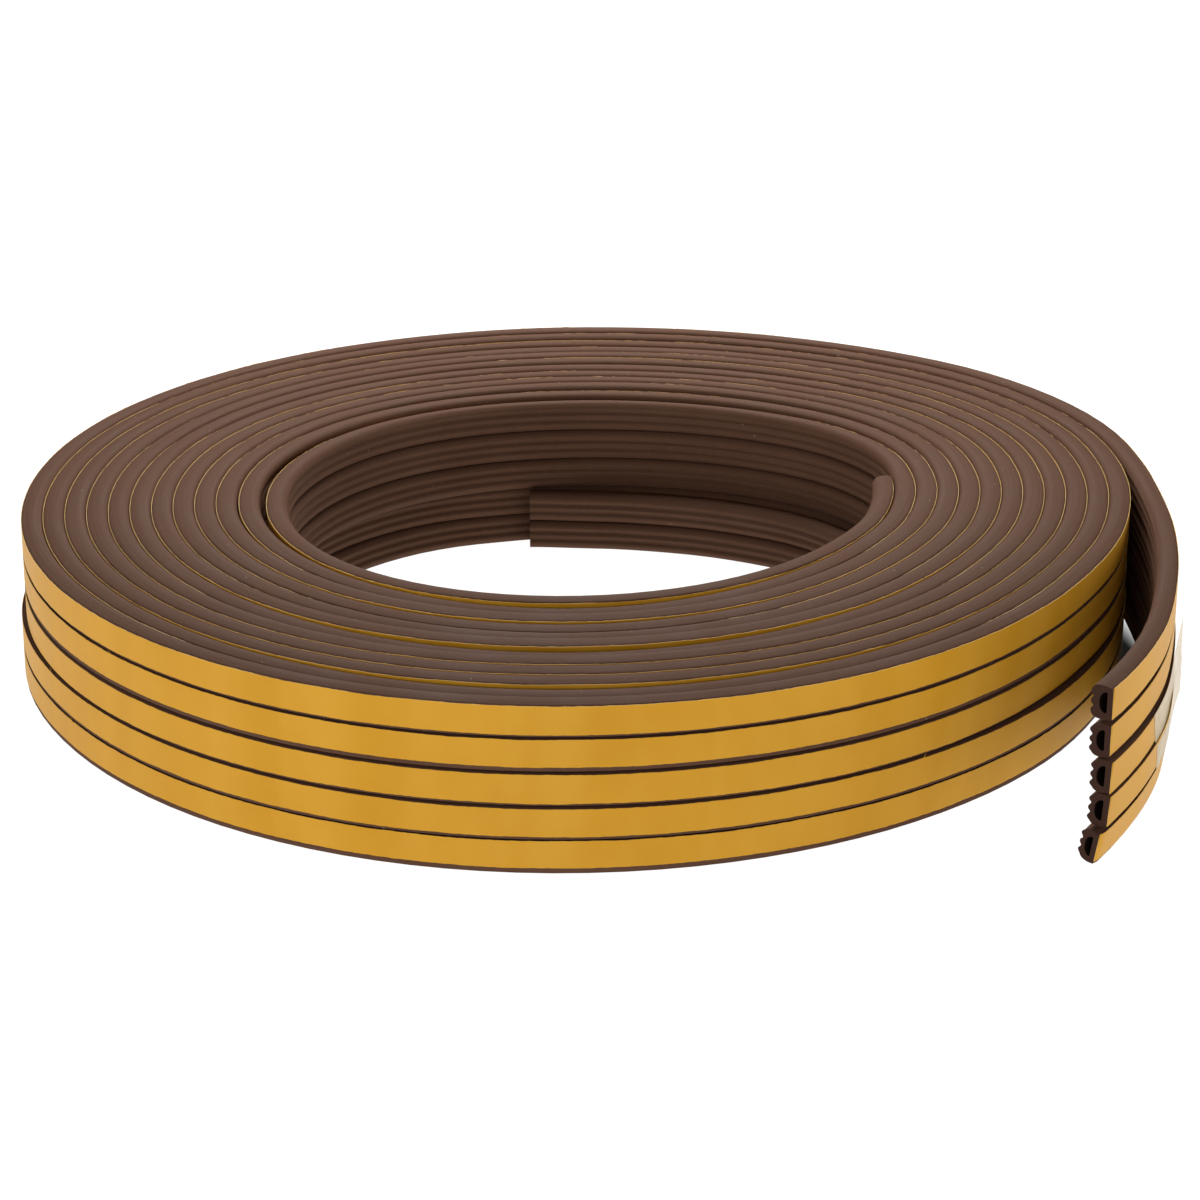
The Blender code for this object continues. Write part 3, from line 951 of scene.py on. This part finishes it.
@dataclass
class ReleaseLiner:
    """The paper strip on the adhesive back of one seal strip."""

    number: int
    winding: Winding
    thickness: float = 0.13
    glue: float = 0.03
    widths: tuple = (7.5, 7.25, 7.6, 7.4, 7.25)
    shifts: tuple = (-0.03, 0.35, -0.02, 0.22, 0.69)
    # The way between two sections: where the edge is in sight, inside, and inside for the top liner
    outer_step: float = 0.7
    inner_step: float = 4.0
    top_inner_step: float = 1.3
    in_sight: float = 386.0
    end_short: float = 0.4
    # How the paper wanders up and down, and how far it drops near its end
    drift: float = 0.12
    drift_scale: float = 60.0
    end_drop: float = 0.4
    end_drop_along: tuple = (4296.0, 4330.0)
    # How much further each edge reaches on the tail, and where that fades
    tail_wider: float = 0.33
    tail_along: tuple = (-20.0, 30.0)
    tear: float = 0.1

    def angles(self) -> np.ndarray:
        """Give the angles of the sections: fine where the paper's edge is in sight, coarse inside.

        Returns:
            Unwrapped angles, rising.
        """
        start = self.winding.start_angle(self.number)
        end = self.winding.end_angle(self.number) - self.end_short
        inside = self.top_inner_step if self.number == 1 else self.inner_step
        outer_turn = math.degrees(self.outer_step / self.winding.outer_radius)
        inner_turn = math.degrees(inside / self.winding.mean_radius)
        outer = np.arange(start, self.in_sight, outer_turn)
        return np.concatenate((outer, np.arange(self.in_sight, end, inner_turn), [end]))

    def edge_noise(self, run: np.ndarray, seed: int) -> np.ndarray:
        """Give the raggedness of a torn edge: small steps with now and then a longer tuft."""
        fine = wander(run, 1.1, seed)
        wide = wander(run, 9.0, seed + 1)
        tuft = np.clip(wander(run, 1.9, seed + 2) - 0.8, 0.0, 1.0) * 4.0
        return self.tear * (0.6 * fine + 0.7 * wide + 0.8 * tuft)

    def build(self) -> bpy.types.Object:
        """Build the liner: a thin band of four edges, its long edges ragged.

        Returns:
            The piece.
        """
        angle = self.angles()
        route = self.winding.route(angle, self.number)
        index = self.number - 1
        shift = self.shifts[index] + self.drift * wander(angle, self.drift_scale, 40 + self.number)
        shift -= self.end_drop * ease(angle, *self.end_drop_along)
        half = self.widths[index] / 2 + self.tail_wider * (1.0 - ease(angle, *self.tail_along))
        high = shift + half + self.edge_noise(route.run, 100 + 10 * self.number)
        low = shift - half - self.edge_noise(route.run, 105 + 10 * self.number)
        near = np.full(len(angle), self.glue)
        far = near + self.thickness
        stands = np.stack((far, far, near, near), axis=1)
        rows = route.at(stands, np.stack((low, high, high, low), axis=1))
        width = self.widths[0]
        section = np.array([[0.0, 0.0], [0.0, width], [self.thickness, width], [self.thickness, 0.0]])
        faces, uvs = closed_band(len(angle), route.run, section, inward=False)
        group = np.tile((1, 2, 3, 4), len(angle))
        piece = make_piece(f"liner_{self.number}", rows.reshape(-1, 3), faces, uvs, group)
        sides = np.tile((0.0, 1.0), 2 * (len(angle) - 1))
        mark_faces(piece, "torn", np.concatenate((sides, (1.0, 1.0))))
        return piece


@dataclass
class ClosingTape:
    """The short piece of film across two strips of the tail; its serrated end has lifted."""

    winding: Winding
    # The lower and the upper strip under it, and the heights between which it goes over
    strips: tuple = (4, 3)
    seam: tuple = (16.6, 19.6)
    low: float = 9.2
    high: float = 27.7
    start_top: float = -39.8
    start_bottom: float = -37.3
    end: float = -18.6
    end_slant: float = 2.0
    tooth: float = 0.75
    tooth_pitch: float = 1.25
    tail_radius: float = 166.0
    # How far it lifts, from what share of its way, and the share of that at its foot and lost upwards
    lift: float = 2.3
    lift_from: float = 0.45
    lift_foot: float = 0.92
    lift_lost: float = 0.05
    stand: float = 0.19
    thickness: float = 0.05
    across: int = 60
    along: int = 44
    # Angles along the tail at which the strips' backs are read
    reading: tuple = (-48.9, 0.0, 400)

    def build(self) -> bpy.types.Object:
        """Build the film on a grid of two parameters.

        One runs up the film, the other along it between a slanted start and an end that
        zigzags as a triangle wave. The film lies on the paper and lifts off as the square of
        its way past the middle.

        Returns:
            The piece.
        """
        up = np.linspace(0.0, 1.0, self.across)[:, None]
        way = np.linspace(0.0, 1.0, self.along)[None, :]
        height = self.low + (self.high - self.low) * up
        start = self.start_bottom + (self.start_top - self.start_bottom) * up
        wave = 2.0 * np.abs(np.mod(height / self.tooth_pitch, 1.0) - 0.5)
        teeth = np.degrees(self.tooth * wave / self.tail_radius)
        end = self.end - self.end_slant * (1.0 - up) + teeth
        angle = start + (end - start) * way
        lifted = np.clip((way - self.lift_from) / (1.0 - self.lift_from), 0.0, 1.0)
        rise = self.lift * lifted**2 * (self.lift_foot - self.lift_lost * up)
        front = self.over(angle, height, self.stand + rise)
        outer = self.over(angle, height, self.stand + self.thickness + rise)
        rim = np.concatenate((front, outer[:, ::-1]), axis=1)
        around = rim.shape[1]
        section = np.column_stack((np.arange(around) * 0.5, np.zeros(around)))
        faces, uvs = closed_band(self.across, height[:, 0], section, inward=True)
        group = np.zeros(self.across * around, int)
        return make_piece("tape_film", rim.reshape(-1, 3), faces, uvs, group)

    def over(self, angle: np.ndarray, height: np.ndarray, stand: np.ndarray) -> np.ndarray:
        """Give the film's points at a stand off the backs of its two strips.

        Args:
            angle: angles of the film's grid.
            height: heights of its rows.
            stand: the way off the backs.

        Returns:
            Points (rows, columns, 3).
        """
        grid = np.linspace(*self.reading)
        share = ease(height, *self.seam)
        places = []
        for number in self.strips:
            route = self.winding.route(grid, number)
            point = [np.interp(angle, grid, route.points[:, i]) for i in range(3)]
            out = [np.interp(angle, grid, route.outward[:, i]) for i in range(2)]
            up = [np.interp(angle, grid, route.up[:, i]) for i in range(2)]
            rise = height - point[2]
            places.append([point[i] + stand * out[i] + rise * up[i] for i in range(2)])
        flat = [low * (1.0 - share) + high * share for low, high in zip(*places)]
        return np.stack((flat[0], flat[1], np.broadcast_to(height, flat[0].shape)), axis=-1)


@dataclass
class AdhesiveThreads:
    """Short pale threads of glue that stand out of the seams."""

    winding: Winding
    # Angle, strip whose liner they stand over, length and lean of each thread
    threads: tuple = (
        (205.5, 4, 2.6, 0.5), (211.0, 5, 2.2, -0.4), (305.0, 4, 1.6, 0.3), (219.5, 2, 1.4, -0.7),
    )
    # The seam's rise over the strip's middle, and where a thread starts off the back
    seam: float = 4.0
    start_off: float = 0.1
    # Shares of the length that a thread goes outwards and curls up, and how much it tapers
    outwards: float = 0.22
    curl: float = 0.75
    taper: float = 0.75
    radius: float = 0.11
    around: int = 6
    along: int = 7

    def build(self) -> bpy.types.Object:
        """Build the threads: thin tapering tubes along short curved lines, closed at both ends.

        A thread starts at the seam, leaves along the outward normal and curls upwards as the
        square of its length.

        Returns:
            The piece that holds them all.
        """
        parts = []
        faces = []
        uvs = []
        turn = np.linspace(0, 2 * math.pi, self.around, endpoint=False)
        section = np.column_stack((np.cos(turn), np.sin(turn)))
        way = np.linspace(0.0, 1.0, self.along)
        size = self.radius * (1.0 - self.taper * way)
        for angle, number, length, lean in self.threads:
            route = self.winding.route(np.array([angle - 0.5, angle, angle + 0.5]), number)
            out = route.outward[1]
            along = route.along[1]
            line = route.points[1] + self.seam * route.up[1]
            line = line + np.outer(self.start_off + way * length * self.outwards, out)
            line = line + np.outer(way * length * lean, along)
            line = line + np.outer(way**2 * length * self.curl, np.array([0.0, 0.0, 1.0]))
            spokes = section[:, :1] * along + section[:, 1:] * out
            first = len(parts) * self.along * self.around
            made, places = closed_band(self.along, way * length, section, inward=False, first=first)
            parts.append((line[:, None] + size[:, None, None] * spokes).reshape(-1, 3))
            faces += made
            uvs += places
        points = np.concatenate(parts)
        return make_piece("glue_threads", points, faces, uvs, np.zeros(len(points), int))


@dataclass
class Studio:
    """The floor, the light and the camera of the picture."""

    axis_x: float = -0.00361
    distance: float = 0.97885
    elevation: float = 21.529
    aim_height: float = 0.011716
    lens: float = 103.754
    sensor: float = 36.0
    shift_x: float = 0.015628
    clip: tuple = (0.01, 50.0)
    floor_half: float = 6.0
    floor_height: float = -0.0004
    room: tuple = (1.0, 0.93, 0.84, 1.0)
    room_strength: float = 0.15
    # Name, place, size and power of each soft box, and what they face
    boxes: tuple = (
        ("back box", (0.0, 0.45, 0.5), (0.5, 0.4), 6.2),
        ("left box", (-1.5, -0.2, 0.5), (0.9, 0.7), 4.0),
        ("front box", (-0.3, -1.6, 0.35), (1.0, 0.5), 6.6),
        ("right box", (1.4, 0.3, 0.35), (1.0, 0.8), 7.0),
    )
    box_aim: tuple = (0.0, 0.0, 0.02)

    def floor(self, effects: SurfaceEffects) -> None:
        """Lay the floor as one square just under height zero."""
        corners = ((-1, -1), (1, -1), (1, 1), (-1, 1))
        points = [(x * self.floor_half, y * self.floor_half, self.floor_height) for x, y in corners]
        mesh = bpy.data.meshes.new("studio_floor")
        mesh.from_pydata(points, [], [(0, 1, 2, 3)])
        floor = bpy.data.objects.new("studio_floor", mesh)
        bpy.context.scene.collection.objects.link(floor)
        mesh.materials.append(FloorFinish().make(effects))

    def stand(self, name: str, data: bpy.types.ID, place: tuple, aim: tuple) -> bpy.types.Object:
        """Put a lamp or a camera at a place and point it at an aim."""
        stood = bpy.data.objects.new(name, data)
        stood.location = place
        stood.rotation_euler = look_turn(place, aim)
        bpy.context.scene.collection.objects.link(stood)
        return stood

    def light(self) -> None:
        """Light the roll from a dim warm room and four soft boxes, with the plain colour curve."""
        world = bpy.data.worlds.new("grey room")
        world.use_nodes = True
        world.node_tree.nodes["Background"].inputs[0].default_value = self.room
        world.node_tree.nodes["Background"].inputs[1].default_value = self.room_strength
        bpy.context.scene.world = world
        bpy.context.scene.view_settings.view_transform = "Standard"
        for name, place, size, power in self.boxes:
            lamp = bpy.data.lights.new(name, "AREA")
            lamp.shape = "RECTANGLE"
            lamp.size, lamp.size_y = size
            lamp.energy = power
            self.stand(name, lamp, place, self.box_aim)

    def camera(self) -> None:
        """Stand the camera where the picture was taken from and aim it at the coil's axis."""
        view = bpy.data.cameras.new("picture camera")
        view.lens = self.lens
        view.sensor_width = self.sensor
        view.shift_x = self.shift_x
        view.clip_start, view.clip_end = self.clip
        turn = math.radians(self.elevation)
        back = -self.distance * math.cos(turn)
        place = (self.axis_x, back, self.aim_height + self.distance * math.sin(turn))
        aim = (self.axis_x, 0.0, self.aim_height)
        bpy.context.scene.camera = self.stand("picture camera", view, place, aim)


def look_turn(place: tuple, aim: tuple) -> tuple:
    """Give the turn that points an object's own downward axis from a place to an aim."""
    x, y, z = (a - p for a, p in zip(aim, place))
    flat = math.hypot(x, y)
    return (math.atan2(flat, -z), 0.0, math.atan2(-x, y) if flat > 1e-9 else 0.0)


def dress(piece: bpy.types.Object, finish: bpy.types.Material, slot: Slot, node: str) -> None:
    """Give a piece its finish and let it stand for a CAD node.

    Args:
        piece: the new piece.
        finish: its material.
        slot: the record's slot.
        node: the CAD node that it replaces, or an empty text.
    """
    piece.data.materials.append(finish)
    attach(piece, "root")
    if node:
        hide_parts(node)
    triangles = sum(len(p.vertices) - 2 for p in piece.data.polygons)
    LOG.info("%s: %d triangles, %s", piece.name, triangles, slot.value)


def main() -> None:
    """Build the roll strip by strip, then the tape and threads, and set up the studio."""
    logging.basicConfig(level=logging.INFO, format="%(message)s")
    effects = SurfaceEffects()
    rubber = RubberFinish().make(effects)
    paper = PaperFinish().make(effects)
    film = FilmFinish().make(effects)
    winding = Winding()
    for number in range(1, winding.strip_count + 1):
        dress(SealStrip(number, winding).build(), rubber, Slot.RUBBER, f"seal_strip_{number}")
        dress(ReleaseLiner(number, winding).build(), paper, Slot.PAPER, f"release_liner_{number}")
    dress(ClosingTape(winding).build(), film, Slot.FILM, "closing_tape")
    dress(AdhesiveThreads(winding).build(), paper, Slot.PAPER, "")
    studio = Studio()
    studio.floor(effects)
    studio.light()
    studio.camera()


if __name__ == "__main__":
    main()
